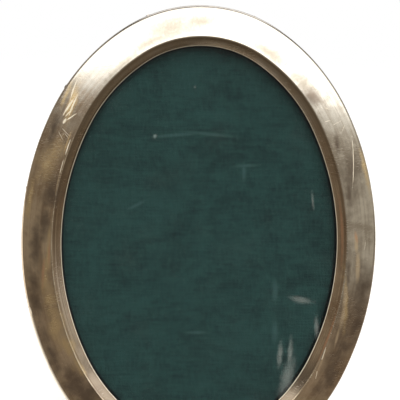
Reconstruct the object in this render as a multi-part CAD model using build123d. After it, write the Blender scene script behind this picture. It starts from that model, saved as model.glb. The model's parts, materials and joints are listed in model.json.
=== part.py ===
from build123d import *
from math import atan2, cos, degrees, radians, sin
import os

# Oval photograph frame with a sheet-silver front, standing on its easel strut.
# Millimetres. +X is to the right seen from the front, +Y to the back, +Z up.
# Every piece is drawn upright first: oval centre at x = z = 0, ridge of the front at y = 0.
# The finished frame is then leaned back and set down on its lowest edge and the strut's foot.

# Oval outline, drawn with eight arcs that pass for an ellipse
outline_width = 152.4
outline_height = 203.2
end_arc_turn = 34
middle_arc_turn = 30

# Silver front
border_width = 17.2
bevel_width = 4.0
bevel_depth = 3.4
ridge_radius = 0.6
sight_radius = 0.3
band_slope_inner = 12
band_slope_outer = 21
roll_radius = 2.0
silver_gauge = 0.6
lip_length = 1.2
hem_width = 1.8
hem_radius = 0.4
frame_depth = 12.6

# Wooden core behind the silver, with the rebate that holds the glass and the back panel
core_gap = 0.15
rebate_lap = 4.8
shelf_lap = 1.8
glass_set_back = 0.6

# Round-headed pins through the silver's side wall
pin_count = 12
pin_radius = 0.5
pin_length = 4.5
pin_head_radius = 1.1
pin_head_height = 0.35
pin_clearance = 0.02
pin_depth = 9.0

# Glass and the velvet-covered back panel
glass_thickness = 2.0
glass_clearance = 0.4
glass_arris = 0.25
picture_gap = 0.5
front_velvet_thickness = 0.8
board_thickness = 3.2
back_velvet_thickness = 0.8
edge_velvet_thickness = 0.5
panel_clearance = 0.5
panel_recess = 0.15
rim_velvet_margin = 0.2

# Brass turn buttons
button_count = 4
button_overlap = 7.0
button_width = 6.4
button_tip_width = 3.6
button_thickness = 0.9
button_play = 0.08
button_lift = 0.1
washer_radius = 2.6
washer_thickness = 0.4
screw_radius = 1.0
screw_length = 7.0
screw_head_radius = 2.1
screw_head_height = 1.1
screw_slot_width = 0.6
screw_slot_depth = 0.5

# Lean and strut
lean = 14
strut_opening = 24
hinge_drop = 47.6
strut_top_width = 24.0
strut_foot_width = 56.0
strut_waist = 1.6
strut_top_radius = 3.0
strut_lining_thickness = 0.6
strut_board_thickness = 3.0
strut_velvet_thickness = 0.6
strut_standoff = 1.6
strut_top_gap = 0.8

# Strut hinge
leaf_width = 18.0
leaf_length = 14.0
leaf_thickness = 0.8
leaf_corner = 2.0
leaf_rivet_share = 0.66
knuckle_radius = 1.8
knuckle_lift = 0.15
knuckle_gap = 0.2
middle_knuckle = 8.0
hinge_pin_radius = 0.8
hinge_pin_fit = 0.02
hinge_pin_play = 0.05
hinge_pin_overhang = 0.4
rivet_radius = 0.9
rivet_head_radius = 1.7
rivet_head_height = 0.6
rivet_tail_height = 0.4
rivet_spacing = 9.0
rivet_clearance = 0.02

# Ribbon stay between the panel and the strut
ribbon_width = 10.0
ribbon_thickness = 0.4
ribbon_tab = 9.0
ribbon_bend = 1.0
ribbon_lift = 0.05
stay_rise = 46.0
tack_radius = 0.5
tack_length = 2.6
tack_head_radius = 2.2
tack_head_height = 0.8

# Hanging ring and its plate
plate_width = 8.0
plate_length = 7.4
plate_thickness = 0.8
plate_corner = 1.5
plate_nail_share = 0.62
ring_drop = 4.4
ring_wire_radius = 0.8
ring_width = 12.0
ring_length = 10.6
ring_bar_corner = 1.6
ring_end_corner = 4.6
ring_play = 0.08
eye_radius = 1.6
eye_length = 7.0
eye_lift = 0.1
nail_radius = 0.5
nail_length = 4.5
nail_head_radius = 1.1
nail_head_height = 0.5
nail_spacing = 4.6

overrun = 5.0

# Places that follow from the sizes above
half_width = outline_width / 2
half_height = outline_height / 2
ridge_inset = border_width - bevel_width
rebate_inset = border_width - rebate_lap
rim_inset = hem_width + rim_velvet_margin
land_inset = (hem_width + rebate_inset) / 2
panel_inset = rebate_inset + panel_clearance
board_inset = panel_inset + edge_velvet_thickness

# Glass and panel fill the rebate, from behind the sight lip to the velvet rim at the back
panel_thickness = front_velvet_thickness + board_thickness + back_velvet_thickness
filling = glass_thickness + picture_gap + panel_thickness
wall_back = frame_depth - silver_gauge - core_gap
rim_depth = wall_back + back_velvet_thickness - panel_recess
glass_front = max(bevel_depth + lip_length + glass_set_back, rim_depth - filling)
glass_back = glass_front + glass_thickness
panel_front = glass_back + picture_gap
board_front = panel_front + front_velvet_thickness
board_back = board_front + board_thickness
panel_back = board_back + back_velvet_thickness
rim_back = panel_back + panel_recess
core_back = rim_back - back_velvet_thickness

hinge_height = half_height - hinge_drop
hinge_depth = panel_back + knuckle_radius + knuckle_lift
strut_front = panel_back + strut_standoff
strut_thickness = strut_lining_thickness + strut_board_thickness + strut_velvet_thickness


def spoke(angle):
    """Direction from the oval's middle out, by its angle from the top towards +X."""
    return Vector(sin(radians(angle)), 0, cos(radians(angle)))


def quarter_arcs():
    """Centre, radius, first and last angle of the arcs from the top to the right side.

    The middle arc's radius is the mean of the half sizes, and the other two close the oval.
    """
    middle_radius = (half_width * half_height) ** 0.5
    first = spoke(end_arc_turn)
    last = spoke(end_arc_turn + middle_arc_turn)
    wide = half_width - middle_radius * (last.X - first.X)
    high = half_height - middle_radius * (first.Z - last.Z)
    share = first.X * last.Z - (1 - last.X) * (1 - first.Z)
    end_radius = (wide * last.Z - high * (1 - last.X)) / share
    side_radius = (high * first.X - wide * (1 - first.Z)) / share
    end_centre = Vector(0, 0, half_height - end_radius)
    middle_centre = end_centre + first * (end_radius - middle_radius)
    side_centre = Vector(half_width - side_radius, 0, 0)
    return [
        (end_centre, end_radius, 0, end_arc_turn),
        (middle_centre, middle_radius, end_arc_turn, end_arc_turn + middle_arc_turn),
        (side_centre, side_radius, end_arc_turn + middle_arc_turn, 90),
    ]


ARCS = quarter_arcs()


def stand():
    """The move that leans the upright frame back and sets its lowest edge on the floor."""
    hem_centre = Vector(0, frame_depth - hem_radius, hem_radius - half_height)
    lowest = hem_centre.rotate(Axis.X, -lean).Z - hem_radius
    return Pos(0, 0, -lowest) * Rot(-lean, 0, 0)


STAND = stand()
HINGE = Pos(0, hinge_depth, hinge_height)
SWING = HINGE * Rot(strut_opening, 0, 0) * HINGE.inverse()
strut_slope = strut_opening - lean
hinge_rise = (STAND * HINGE).position.Z
strut_middle = strut_front + strut_thickness / 2 - hinge_depth
strut_drop = hinge_rise + strut_middle * sin(radians(strut_slope))
strut_length = strut_drop / cos(radians(strut_slope))
stay_reach = strut_length - stay_rise


# Shapes that several pieces share


def box_between(low, high):
    """Box from its lowest corner to its highest."""
    size = [top - bottom for bottom, top in zip(low, high)]
    centre = [(top + bottom) / 2 for bottom, top in zip(low, high)]
    return Pos(*centre) * Box(*size)


def four_quarters(quarter):
    """Joins a quarter of the oval to its mirror images."""
    half = quarter + mirror(quarter, about=Plane.YZ)
    return half + mirror(half, about=Plane.XY)


def oval_plate(inset, front, thickness):
    """Flat plate whose edge lies inside the outline by one distance all round."""
    rim = [
        CenterArc((centre.X, centre.Z), radius - inset, 90 - last, last - first)
        for centre, radius, first, last in ARCS
    ]
    spokes = Polyline((half_width - inset, 0), (0, 0), (0, half_height - inset))
    face = Plane.XZ * make_face([*rim, *spokes.edges()])
    quarter = extrude(face, amount=thickness, dir=(0, 1, 0))
    return Pos(0, front, 0) * four_quarters(quarter)


def oval_sweep(section):
    """Carries a section, drawn as inset and depth, once round the outline."""
    quarter = Part()
    for centre, radius, first, last in ARCS:
        outward = spoke(first)
        start = Plane(
            origin=centre + outward * radius,
            x_dir=-outward,
            z_dir=(-outward).cross(Vector(0, 1, 0)),
        )
        pivot = Axis(centre, (0, 1, 0))
        quarter += revolve(start * section, axis=pivot, revolution_arc=last - first)
    return four_quarters(quarter)


def spaced_angles(count):
    """Outward directions of places spaced evenly round the outline, none at the very top."""
    lengths = [radius * radians(last - first) for _, radius, first, last in ARCS]
    angles = []
    for number in range(count):
        quarter, share = divmod(4 * (number + 0.5) / count, 1)
        along = sum(lengths) * (share if quarter % 2 == 0 else 1 - share)
        for (_, radius, first, _), length in zip(ARCS, lengths):
            if 0 <= along <= length:
                steep = first + degrees(along / radius)
            along -= length
        angles.append([steep, 180 - steep, 180 + steep, 360 - steep][int(quarter)])
    return angles


def outline_point(angle):
    """Point of the outline whose outward direction has that angle from the top."""
    outward = spoke(angle)
    steep = degrees(atan2(abs(outward.X), abs(outward.Z)))
    centre, radius = next((centre, radius) for centre, radius, _, last in ARCS if steep <= last)
    point = centre + spoke(steep) * radius
    across = 1 if outward.X > 0 else -1
    upward = 1 if outward.Z > 0 else -1
    return Vector(across * point.X, 0, upward * point.Z)


def section_box(inset_from, inset_to, depth_from, depth_to):
    """Rectangle in a section, by its insets and depths."""
    corner = Pos(inset_from, depth_from)
    size = (inset_to - inset_from, depth_to - depth_from)
    return corner * Rectangle(*size, align=(Align.MIN, Align.MIN))


def land_place(angle, inset, depth):
    """Place on the back of the ring: x towards the centre, z to the back."""
    outward = spoke(angle)
    origin = outline_point(angle) - outward * inset + Vector(0, depth, 0)
    return Plane(origin=origin, x_dir=-outward, z_dir=(0, 1, 0)).location


def wall_place(angle, depth):
    """Place on the side wall: z points out of the frame."""
    origin = outline_point(angle) + Vector(0, depth, 0)
    return Plane(origin=origin, x_dir=(0, 1, 0), z_dir=spoke(angle)).location


def domed_pin(radius, length, head_radius, head_height):
    """Pin along -Z with a domed head that sits on the plane z = 0."""
    shank = Pos(0, 0, -length) * Cylinder(
        radius, length, align=(Align.CENTER, Align.CENTER, Align.MIN)
    )
    ball_radius = (head_radius**2 + head_height**2) / (2 * head_height)
    ball = Pos(0, 0, head_height - ball_radius) * Sphere(ball_radius)
    reach = 2 * ball_radius
    head = ball & box_between((-reach, -reach, 0), (reach, reach, reach))
    return shank + head


def pin_hole(radius, length):
    """Cutter for a pin's shank, a little past the plane z = 0."""
    return Pos(0, 0, -length) * Cylinder(
        radius, length + overrun, align=(Align.CENTER, Align.CENTER, Align.MIN)
    )


def upright(place_x, depth, height):
    """Place on the back of the panel: z to the back, y up."""
    return Plane(
        origin=(place_x, depth, height), x_dir=(-1, 0, 0), z_dir=(0, 1, 0)
    ).location


# Silver front, core and pins


def front_region():
    """Everything behind the silver's face, as inset and depth, open to the back."""
    slope_in = radians(band_slope_inner)
    slope_out = radians(band_slope_outer)
    band_run = ridge_inset - roll_radius * (1 - sin(slope_out))
    band_radius = band_run / (sin(slope_out) - sin(slope_in))
    deep = frame_depth + overrun
    band = JernArc(
        (ridge_inset, 0),
        (-cos(slope_in), sin(slope_in)),
        band_radius,
        band_slope_inner - band_slope_outer,
    )
    roll = JernArc(band @ 1, band % 1, roll_radius, band_slope_outer - 90)
    back = Polyline(
        roll @ 1,
        (0, deep),
        (border_width, deep),
        (border_width, bevel_depth),
        (ridge_inset, 0),
    )
    region = make_face(band + roll + back)
    ridge = region.vertices().sort_by(Axis.Y)[0]
    region = fillet(ridge, ridge_radius)
    sight = [
        corner
        for corner in region.vertices()
        if abs(corner.X - border_width) < sight_radius
        and abs(corner.Y - bevel_depth) < sight_radius
    ]
    return fillet(sight, sight_radius)


def silver_section():
    region = front_region()
    skin = region - offset(region, amount=-silver_gauge)
    face = section_box(-overrun, border_width + overrun, -overrun, bevel_depth + lip_length)
    wall = section_box(-overrun, hem_width, -overrun, frame_depth)
    hem = section_box(0, hem_width, frame_depth - silver_gauge, frame_depth)
    section = (skin & (face + wall)) + hem
    corner = [
        vertex
        for vertex in section.vertices()
        if abs(vertex.X) < hem_radius and abs(vertex.Y - frame_depth) < hem_radius
    ]
    return fillet(corner, hem_radius)


def core_section():
    """Core from the silver's wall to the shelf, with its rim raised to the panel's back."""
    inner = offset(front_region(), amount=-(silver_gauge + core_gap))
    shelf = section_box(-overrun, border_width - shelf_lap, -overrun, glass_front)
    body = section_box(-overrun, rebate_inset, -overrun, wall_back)
    rim = section_box(rim_inset, rebate_inset, -overrun, core_back)
    return inner & (shelf + body + rim)


def edge_pin_places():
    return [wall_place(angle, pin_depth) for angle in spaced_angles(pin_count)]


def button_places(depth):
    return [land_place(angle, land_inset, depth) for angle in spaced_angles(button_count)]


def hanger_nail_places(depth):
    height = half_height - ring_drop - plate_length * plate_nail_share
    return [upright(side * nail_spacing / 2, depth, height) for side in (-1, 1)]


def make_silver_front():
    front = oval_sweep(silver_section())
    hole = pin_hole(pin_radius + pin_clearance, pin_length)
    return front - [place * hole for place in edge_pin_places()]


def make_core_ring():
    ring = oval_sweep(core_section())
    pin = pin_hole(pin_radius + pin_clearance, pin_length + pin_clearance)
    screw = pin_hole(screw_radius + pin_clearance, screw_length + pin_clearance)
    nail = pin_hole(nail_radius + pin_clearance, nail_length + pin_clearance)
    cuts = [place * pin for place in edge_pin_places()]
    cuts += [place * screw for place in button_places(rim_back)]
    cuts += [place * nail for place in hanger_nail_places(rim_back)]
    return ring - cuts


def make_edge_pins():
    pin = domed_pin(pin_radius, pin_length, pin_head_radius, pin_head_height)
    return [place * pin for place in edge_pin_places()]


# Glass and back panel


def make_glass_pane():
    pane = oval_plate(rebate_inset + glass_clearance, glass_front, glass_thickness)
    return chamfer(pane.edges(), glass_arris)


def make_front_velvet():
    return oval_plate(board_inset, panel_front, front_velvet_thickness)


def make_backing_panel():
    board = oval_plate(board_inset, board_front, board_thickness)
    return board - panel_fixing_cuts()


def make_back_velvet():
    """Velvet over the back of the board, turned round its edge."""
    sheet = oval_plate(panel_inset, panel_front, panel_back - panel_front)
    hollow = oval_plate(board_inset, panel_front - overrun, board_back - panel_front + overrun)
    return sheet - hollow - panel_fixing_cuts()


def make_rim_velvet():
    """Velvet ring on the back of the core, inside the silver's turned hem."""
    outer = oval_plate(rim_inset, core_back, back_velvet_thickness)
    inner = oval_plate(rebate_inset, core_back - overrun, back_velvet_thickness + 2 * overrun)
    screw = pin_hole(screw_radius + pin_clearance, screw_length)
    nail = pin_hole(nail_radius + pin_clearance, nail_length)
    cuts = [place * screw for place in button_places(rim_back)]
    cuts += [place * nail for place in hanger_nail_places(rim_back)]
    return outer - inner - cuts


# Turn buttons


def turn_button():
    """Button lying on z = 0 with its pivot at the origin and its tip along +X."""
    reach = rebate_inset - land_inset + button_overlap
    tip_radius = button_tip_width / 2
    root = Circle(button_width / 2)
    tip = Pos(reach - tip_radius, 0) * Circle(tip_radius)
    blade = make_hull((root.edges() + tip.edges()))
    hole = Circle(screw_radius + button_play)
    return extrude(blade - hole, amount=button_thickness)


def turn_button_screw():
    """Slotted screw whose head holds a button and washer on the plane z = 0."""
    head_seat = washer_thickness + button_thickness + 2 * button_lift
    screw = Pos(0, 0, head_seat) * domed_pin(
        screw_radius, screw_length + head_seat, screw_head_radius, screw_head_height
    )
    top = head_seat + screw_head_height
    slot = box_between(
        (-overrun, -screw_slot_width / 2, top - screw_slot_depth),
        (overrun, screw_slot_width / 2, top + overrun),
    )
    return screw - slot


def make_turn_buttons():
    depth = rim_back + washer_thickness + button_lift
    return [place * turn_button() for place in button_places(depth)]


def make_button_screws():
    return [place * turn_button_screw() for place in button_places(rim_back)]


def make_button_washers():
    disc = Circle(washer_radius) - Circle(screw_radius + button_play)
    washer = extrude(disc, amount=washer_thickness)
    return [place * washer for place in button_places(rim_back)]


# Strut hinge. What is on the strut is drawn folded flat, then swung open


def leaf_plate(front, toward):
    """Plate of one leaf, above the pin for toward = 1 and below it for -1."""
    middle = hinge_height + toward * leaf_length / 2
    plate = Pos(0, front + leaf_thickness / 2, middle) * Box(
        leaf_width, leaf_thickness, leaf_length
    )
    heights = plate.edges().filter_by(Axis.Y).group_by(Axis.Z)
    return fillet(heights[-1] if toward > 0 else heights[0], leaf_corner)


def knuckle(low, high):
    """Length of hinge barrel on the pin's axis from x = low to x = high."""
    return HINGE * Pos((low + high) / 2, 0, 0) * Rot(0, 90, 0) * Cylinder(knuckle_radius, high - low)


def pin_bore(radius):
    return HINGE * Rot(0, 90, 0) * Cylinder(radius, leaf_width + 2 * overrun)


def knuckle_room(low, high):
    """Space that the other leaf's barrel turns in."""
    radius = knuckle_radius + knuckle_gap
    return HINGE * Pos((low + high) / 2, 0, 0) * Rot(0, 90, 0) * Cylinder(radius, high - low)


def rivet_places(seat, toward):
    height = hinge_height + toward * leaf_length * leaf_rivet_share
    return [upright(side * rivet_spacing / 2, seat, height) for side in (-1, 1)]


def make_hinge_panel_leaf():
    half = middle_knuckle / 2
    leaf = leaf_plate(panel_back, 1)
    leaf = leaf + knuckle(-leaf_width / 2, -half) + knuckle(half, leaf_width / 2)
    leaf = leaf - knuckle_room(-half, half)
    hole = pin_hole(rivet_radius + rivet_clearance, overrun)
    holes = [place * hole for place in rivet_places(panel_back + leaf_thickness, 1)]
    return leaf - pin_bore(hinge_pin_radius + hinge_pin_fit) - holes


def make_hinge_strut_leaf():
    half = middle_knuckle / 2 - knuckle_gap
    outer = leaf_width / 2 + overrun
    leaf = leaf_plate(strut_front - leaf_thickness, -1)
    leaf = leaf + knuckle(-half, half)
    leaf = leaf - knuckle_room(-outer, -half) - knuckle_room(half, outer)
    hole = pin_hole(rivet_radius + rivet_clearance, overrun)
    holes = [place * hole for place in rivet_places(strut_front, -1)]
    leaf = leaf - pin_bore(hinge_pin_radius + hinge_pin_play) - holes
    return SWING * leaf


def make_hinge_pin():
    length = leaf_width + 2 * hinge_pin_overhang
    rod = HINGE * Rot(0, 90, 0) * Cylinder(hinge_pin_radius, length)
    return chamfer(rod.edges().filter_by(GeomType.CIRCLE), hinge_pin_overhang / 2)


def make_hinge_panel_rivets():
    """Rivets through leaf, velvet and board, flush under the front velvet."""
    seat = panel_back + leaf_thickness
    rivet = domed_pin(rivet_radius, seat - board_front, rivet_head_radius, rivet_head_height)
    return [place * rivet for place in rivet_places(seat, 1)]


def make_hinge_strut_rivets():
    """Rivets through the strut and its leaf, domed behind and flat-headed in front."""
    seat = strut_front + strut_thickness
    grip = strut_thickness + leaf_thickness
    rivet = domed_pin(rivet_radius, grip, rivet_head_radius, rivet_head_height)
    tail = Pos(0, 0, -grip - rivet_tail_height / 2) * Cylinder(
        rivet_head_radius, rivet_tail_height
    )
    return [SWING * place * (rivet + tail) for place in rivet_places(seat, -1)]


def panel_fixing_cuts():
    """Holes through the velvet and board for the hinge rivets and the stay's tack."""
    depth = board_thickness + back_velvet_thickness + overrun
    rivet = pin_hole(rivet_radius + rivet_clearance, depth)
    tack = pin_hole(tack_radius + rivet_clearance, tack_length + rivet_clearance)
    cuts = [place * rivet for place in rivet_places(panel_back, 1)]
    return cuts + [panel_tack_place() * tack]


# Strut


def strut_outline(shrink):
    """Strut's face, seen flat: narrow at the hinge, wide at the foot, with waisted sides."""
    top = hinge_height - knuckle_radius - strut_top_gap - shrink
    foot = hinge_height - strut_length - overrun
    half_top = strut_top_width / 2 - shrink
    half_foot = strut_foot_width / 2 - shrink
    sides = [
        SagittaArc((-half_top, top), (-half_foot, foot), strut_waist),
        SagittaArc((half_foot, foot), (half_top, top), strut_waist),
    ]
    ends = [
        Line((-half_foot, foot), (half_foot, foot)),
        Line((half_top, top), (-half_top, top)),
    ]
    face = make_face([*sides, *ends])
    corners = face.vertices().group_by(Axis.Y)[-1]
    return fillet(corners, strut_top_radius - shrink)


def strut_slab(shrink, front, thickness):
    """Slab of the strut swung open and cut level, by shrink above the floor."""
    flat = extrude(Plane.XZ * strut_outline(shrink), amount=thickness, dir=(0, 1, 0))
    open_slab = STAND * SWING * Pos(0, front, 0) * flat
    return split(open_slab, bisect_by=Plane.XY.offset(shrink), keep=Keep.TOP)


def make_strut_board():
    front = strut_front + strut_lining_thickness
    board = strut_slab(strut_velvet_thickness, front, strut_board_thickness)
    return board - strut_fixing_cuts()


def make_strut_lining():
    """Thin cloth on the strut's inner face."""
    lining = strut_slab(strut_velvet_thickness, strut_front, strut_lining_thickness)
    return lining - strut_fixing_cuts()


def make_strut_velvet():
    """Velvet over the strut's outer face, turned round all its edges."""
    filled = strut_slab(0, strut_front, strut_thickness)
    depth = overrun + strut_lining_thickness + strut_board_thickness
    hollow = strut_slab(strut_velvet_thickness, strut_front - overrun, depth)
    return filled - hollow - strut_fixing_cuts()


def strut_fixing_cuts():
    rivet = pin_hole(rivet_radius + rivet_clearance, strut_thickness + overrun)
    tack = pin_hole(tack_radius + rivet_clearance, tack_length + rivet_clearance)
    back = strut_front + strut_thickness
    cuts = [place * rivet for place in rivet_places(back, -1)] + [strut_tack_place() * tack]
    return [STAND * SWING * cut for cut in cuts]


# Ribbon stay


def panel_tack_place():
    height = hinge_height - stay_reach + ribbon_tab / 2
    return upright(0, panel_back, height)


def strut_tack_place():
    """Place on the strut's inner face, folded flat: z to the front."""
    height = hinge_height - stay_reach - ribbon_tab / 2
    return Plane(origin=(0, strut_front, height), x_dir=(1, 0, 0), z_dir=(0, -1, 0)).location


def ribbon_path():
    """Side view of the taut ribbon, from its tab on the panel to its tab on the strut."""
    rest = ribbon_thickness / 2 + ribbon_lift
    level = hinge_height - stay_reach
    panel_points = [
        Vector(0, panel_back + rest, level + ribbon_tab),
        Vector(0, panel_back + rest, level),
    ]
    strut_points = [
        (SWING * Pos(0, strut_front - rest, level)).position,
        (SWING * Pos(0, strut_front - rest, level - ribbon_tab)).position,
    ]
    return FilletPolyline(*panel_points, *strut_points, radius=ribbon_bend)


def make_stay_ribbon():
    path = ribbon_path()
    start = Plane(origin=path @ 0, x_dir=(1, 0, 0), z_dir=path % 0)
    strip = sweep(start * Rectangle(ribbon_width, ribbon_thickness), path=path)
    hole = pin_hole(tack_radius + rivet_clearance, overrun)
    panel_hole = panel_tack_place() * Pos(0, 0, overrun / 2) * hole
    strut_hole = SWING * strut_tack_place() * Pos(0, 0, overrun / 2) * hole
    return strip - panel_hole - strut_hole


def stay_tack():
    """Tack whose domed head holds the ribbon down on the plane z = 0."""
    seat = ribbon_thickness + 2 * ribbon_lift
    return Pos(0, 0, seat) * domed_pin(
        tack_radius, tack_length + seat, tack_head_radius, tack_head_height
    )


def make_stay_panel_tack():
    return panel_tack_place() * stay_tack()


def make_stay_strut_tack():
    return SWING * strut_tack_place() * stay_tack()


# Hanging ring


def ring_axis():
    height = half_height - ring_drop
    return Vector(0, rim_back + eye_radius + eye_lift, height)


def make_hanger_plate():
    axis = ring_axis()
    eye = Pos(*axis) * Rot(0, 90, 0) * Cylinder(eye_radius, eye_length)
    plate = box_between(
        (-plate_width / 2, rim_back, axis.Z - plate_length),
        (plate_width / 2, rim_back + plate_thickness, axis.Z),
    )
    corners = plate.edges().filter_by(Axis.Y).group_by(Axis.Z)[0]
    plate = fillet(corners, plate_corner)
    bore = Pos(*axis) * Rot(0, 90, 0) * Cylinder(
        ring_wire_radius + ring_play, eye_length + 2 * overrun
    )
    nail = pin_hole(nail_radius + pin_clearance, overrun)
    seat = rim_back + plate_thickness
    holes = [place * nail for place in hanger_nail_places(seat)]
    return plate + eye - bore - holes


def make_hanger_nails():
    seat = rim_back + plate_thickness
    nail = domed_pin(
        nail_radius, nail_length + plate_thickness, nail_head_radius, nail_head_height
    )
    return [place * nail for place in hanger_nail_places(seat)]


def make_hanging_ring():
    """D-shaped wire ring that hangs plumb from its straight bar."""
    half = ring_width / 2 - ring_wire_radius
    drop = ring_length - ring_wire_radius
    loop = FilletPolyline(
        (half, 0),
        (half, -drop),
        (-half, -drop),
        (-half, 0),
        radius=[ring_bar_corner, ring_end_corner, ring_end_corner, ring_bar_corner],
        close=True,
    )
    path = Plane.XZ * loop
    start = Plane(origin=path @ 0, z_dir=path % 0)
    ring = sweep(start * Circle(ring_wire_radius), path=path)
    return Pos(*ring_axis()) * Rot(lean, 0, 0) * ring


# Whole frame


def upright_pieces():
    """Pieces drawn upright, by node name. A list is one node of several separate solids."""
    pieces = {
        "silver_front": make_silver_front(),
        "core_ring": make_core_ring(),
        "edge_pins": make_edge_pins(),
        "glass_pane": make_glass_pane(),
        "front_velvet": make_front_velvet(),
        "backing_panel": make_backing_panel(),
        "back_velvet": make_back_velvet(),
        "rim_velvet": make_rim_velvet(),
        "button_washers": make_button_washers(),
        "button_screws": make_button_screws(),
        "hinge_panel_leaf": make_hinge_panel_leaf(),
        "hinge_panel_rivets": make_hinge_panel_rivets(),
        "hinge_pin": make_hinge_pin(),
        "hinge_strut_leaf": make_hinge_strut_leaf(),
        "hinge_strut_rivets": make_hinge_strut_rivets(),
        "stay_ribbon": make_stay_ribbon(),
        "stay_panel_tack": make_stay_panel_tack(),
        "stay_strut_tack": make_stay_strut_tack(),
        "hanger_plate": make_hanger_plate(),
        "hanger_nails": make_hanger_nails(),
        "hanging_ring": make_hanging_ring(),
    }
    for number, button in enumerate(make_turn_buttons(), start=1):
        pieces[f"turn_button_{number}"] = button
    return pieces


def solids_of(shapes):
    """Every solid in one shape or in a list of shapes."""
    if isinstance(shapes, list) and not isinstance(shapes, ShapeList):
        return [solid for shape in shapes for solid in shape.solids()]
    return shapes.solids()


def standing_pieces():
    pieces = {
        name: [STAND * solid for solid in solids_of(shapes)]
        for name, shapes in upright_pieces().items()
    }
    pieces["strut_board"] = solids_of(make_strut_board())
    pieces["strut_lining"] = solids_of(make_strut_lining())
    pieces["strut_velvet"] = solids_of(make_strut_velvet())
    return pieces


def main():
    pieces = standing_pieces()
    box = Compound([solid for solids in pieces.values() for solid in solids]).bounding_box()
    centring = Pos(0, -(box.min.Y + box.max.Y) / 2, 0)
    os.makedirs("parts", exist_ok=True)
    for name, solids in pieces.items():
        export_step(Compound([centring * solid for solid in solids]), f"parts/{name}.step")


main()
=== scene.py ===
import json
from math import atan2, cos, pi, radians, sin, tan

import bmesh
import bpy
from mathutils import Matrix, Vector, noise


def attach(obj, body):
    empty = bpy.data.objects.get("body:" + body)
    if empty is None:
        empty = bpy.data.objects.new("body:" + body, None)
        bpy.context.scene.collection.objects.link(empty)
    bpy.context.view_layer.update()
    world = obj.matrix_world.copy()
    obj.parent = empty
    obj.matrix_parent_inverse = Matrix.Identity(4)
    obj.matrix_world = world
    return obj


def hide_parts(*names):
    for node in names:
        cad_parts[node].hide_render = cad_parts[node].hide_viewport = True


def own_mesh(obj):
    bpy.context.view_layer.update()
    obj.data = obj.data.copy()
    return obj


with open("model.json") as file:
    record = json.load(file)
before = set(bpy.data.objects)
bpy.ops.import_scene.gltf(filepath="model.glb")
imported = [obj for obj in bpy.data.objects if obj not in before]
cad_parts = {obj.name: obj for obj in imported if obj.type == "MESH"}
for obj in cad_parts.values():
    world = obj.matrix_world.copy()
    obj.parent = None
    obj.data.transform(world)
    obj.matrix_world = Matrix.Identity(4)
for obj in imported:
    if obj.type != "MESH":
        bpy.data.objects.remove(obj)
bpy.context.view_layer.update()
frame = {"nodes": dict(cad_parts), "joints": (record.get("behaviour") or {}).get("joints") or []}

# Oval photograph frame: sheet-silver front, glass over dark green velvet, and a velvet-covered
# back with brass turn buttons, a hanging ring and a hinged easel strut on a ribbon stay.
# Pieces are drawn upright, with the oval's centre at x = z = 0 and the border's ridge at y = 0.
# They are then stood up by the same move as the solid frame, taken from the strut's joint.

MM = 0.001

# Oval outline: half its size, and the turns in degrees of the arcs at its ends and between
half_width = 76.2 * MM
half_height = 101.6 * MM
end_arc_turn = 34
middle_arc_turn = 30

# Silver front
border_width = 17.2 * MM
bevel_width = 4.0 * MM
bevel_depth = 3.4 * MM
ridge_radius = 0.6 * MM
sight_radius = 0.3 * MM
band_slope_inner = radians(12)
band_slope_outer = radians(21)
band_radius_share = 0.96
roll_radius = 2.0 * MM
silver_gauge = 0.6 * MM
lip_length = 1.2 * MM
hem_width = 1.8 * MM
hem_radius = 0.4 * MM
frame_depth = 12.6 * MM
dent_depth = 0.05 * MM
dent_spacing = 26 * MM
ring_steps_apart = 1.0
silver_smooth_angle = radians(60)

# Insets from the outline and depths from the ridge of what lies behind the glass
rebate_inset = 12.4 * MM
panel_inset = 12.9 * MM
board_inset = 13.4 * MM
panel_front = 7.7 * MM
front_velvet_back = 8.5 * MM
panel_back = 12.5 * MM
rim_inset = 2.0 * MM
rim_front = 11.85 * MM
rim_back = 12.65 * MM
rim_edge_radius = 0.5 * MM
rim_steps_apart = 2.0

# Cloths on oval boards: how far their surface lies inside the solid cloth's, and their waves
front_cloth_rest = 0.10 * MM
front_cloth_edge_rest = 0.35 * MM
front_cloth_flat_share = 0.985
front_cloth_wave = 0.08 * MM
front_cloth_wave_spacing = 17 * MM
back_cloth_rest = 0.05 * MM
back_cloth_side_rest = 0.7 * MM
back_cloth_edge_rest = 0.2 * MM
back_cloth_edge_share = 0.996
back_cloth_flat_share = 0.988
back_cloth_wave = 0.07 * MM
back_cloth_wave_spacing = 14 * MM
cloth_rings = 48
cloth_back_rings = 4
cloth_spokes = 192

# Strut, hinge and ribbon, with heights above the oval's centre and lengths from the hinge down
lean = radians(14)
strut_opening = radians(24)
hinge_height = 54.0 * MM
hinge_depth = 14.45 * MM
strut_front = 14.1 * MM
strut_thickness = 4.2 * MM
strut_cloth = 0.6 * MM
strut_top = 51.4 * MM
strut_top_width = 24.0 * MM
strut_foot_width = 56.0 * MM
strut_waist = 1.6 * MM
strut_top_radius = 3.0 * MM
strut_length = 153.075 * MM
strut_overrun = 5.0 * MM
lining_proud = 0.02 * MM
lining_edge_radius = 0.1 * MM
strut_side_steps = 16
strut_smooth_angle = radians(35)
stay_reach = 107.075 * MM
ribbon_width = 10.0 * MM
ribbon_thickness = 0.4 * MM
ribbon_tab = 9.0 * MM
ribbon_bend = 1.0 * MM
ribbon_rest = 0.25 * MM
ribbon_columns = 10
ribbon_cuts = 24
ribbon_rib_spacing = 0.9 * MM

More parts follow.
